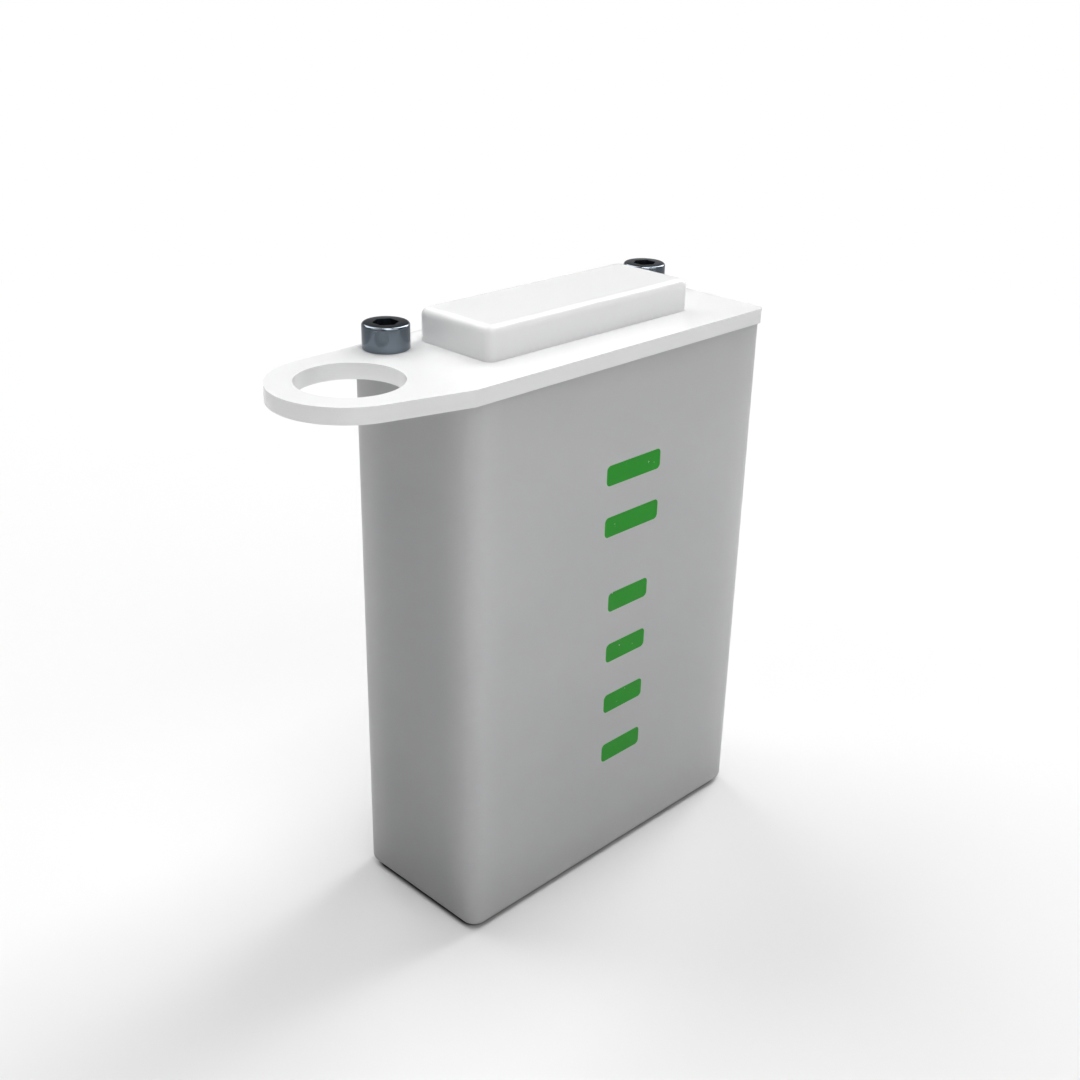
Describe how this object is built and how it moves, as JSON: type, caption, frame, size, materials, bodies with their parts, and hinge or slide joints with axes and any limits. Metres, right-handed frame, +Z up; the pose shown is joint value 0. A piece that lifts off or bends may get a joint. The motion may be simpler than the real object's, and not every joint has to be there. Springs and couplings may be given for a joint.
{
  "type": "prismatic battery cell",
  "caption": "Prismatic battery cell in an upright grey case, with a white lid plate that ends in a pull eye, a raised vent cover and socket-head terminal screws.",
  "frame": {"origin": "centre of the underside of the case", "axes": "+Z up, X along the long side with the pull eye past -X, the printed broad face looks along -Y"},
  "size_m": [0.0662, 0.0208, 0.0744],
  "materials": {
    "case_aluminium": "fine satin light grey",
    "lid_plastic": "semi-gloss white",
    "screw_steel": "dark blue-grey oxide, polished rim",
    "bare_aluminium": "bare rolled",
    "copper": "bare copper",
    "insulator_plastic": "moulded",
    "film_plastic": "moulded",
    "seal_rubber": "matte black",
    "electrode_foil": "wound coated foil under clear tape"
  },
  "bodies": {
    "cell": {"case": "case_aluminium", "lid_plate": "lid_plastic", "vent_cover": "lid_plastic", "cap_plate": "bare_aluminium", "vent_disc": "bare_aluminium", "vent_film": "film_plastic", "fill_plug": "bare_aluminium", "under_cap_insulator": "insulator_plastic", "insulating_bag": "film_plastic", "bottom_pad": "insulator_plastic", "electrode_roll_front": "electrode_foil", "electrode_roll_rear": "electrode_foil", "terminal_post_pos": "bare_aluminium", "terminal_post_neg": "copper", "terminal_cup_pos": "insulator_plastic", "terminal_cup_neg": "insulator_plastic", "terminal_seal_pos": "seal_rubber", "terminal_seal_neg": "seal_rubber", "collector_pos": "bare_aluminium", "collector_neg": "copper"},
    "screw_pos": {"terminal_screw_pos": "screw_steel"},
    "screw_neg": {"terminal_screw_neg": "screw_steel"}
  },
  "joints": [
    {"name": "screw_pos_out", "type": "slide", "parent": "cell", "child": "screw_pos", "axis": [0, 0, 1], "range_m": [0, 0.003]},
    {"name": "screw_neg_out", "type": "slide", "parent": "cell", "child": "screw_neg", "axis": [0, 0, 1], "range_m": [0, 0.003]}
  ]
}
